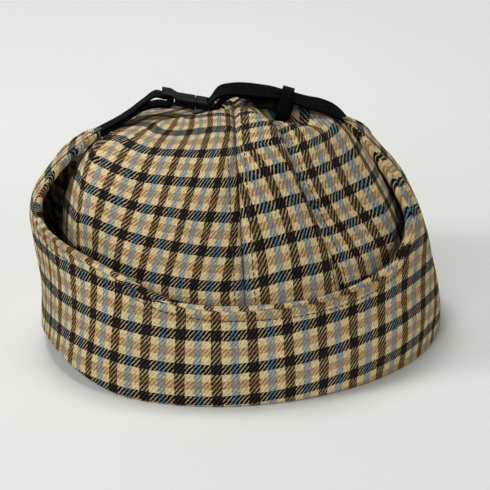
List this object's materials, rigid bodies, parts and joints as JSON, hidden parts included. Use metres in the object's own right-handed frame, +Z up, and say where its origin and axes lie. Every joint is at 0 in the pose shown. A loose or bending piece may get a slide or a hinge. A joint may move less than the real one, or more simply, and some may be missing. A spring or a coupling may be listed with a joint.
{
  "type": "earflap cap",
  "caption": "Brimless panelled cap in checked wool with a turned-up band and earflaps, held over the crown by a webbing strap with a side release buckle.",
  "frame": {"origin": "centre of the bounding box, at the level of the fold the cap rests on", "axes": "+Z up, -Y towards the face, +X towards the right when the cap is seen from the front"},
  "size_m": [0.2021, 0.2122, 0.1249],
  "materials": {
    "wool_check": "matt woollen twill in a check of cream, dark brown, orange-brown and light blue",
    "webbing_black": "matt woven webbing",
    "plastic_black": "moulded, satin"
  },
  "bodies": {
    "root": {"crown_panel_1": "wool_check", "crown_panel_2": "wool_check", "crown_panel_3": "wool_check", "crown_panel_4": "wool_check", "crown_panel_5": "wool_check", "crown_panel_6": "wool_check", "flap_band": "wool_check", "strap_left": "webbing_black", "strap_right": "webbing_black", "keeper": "webbing_black", "buckle_socket": "plastic_black", "buckle_plug": "plastic_black"}
  },
  "joints": []
}
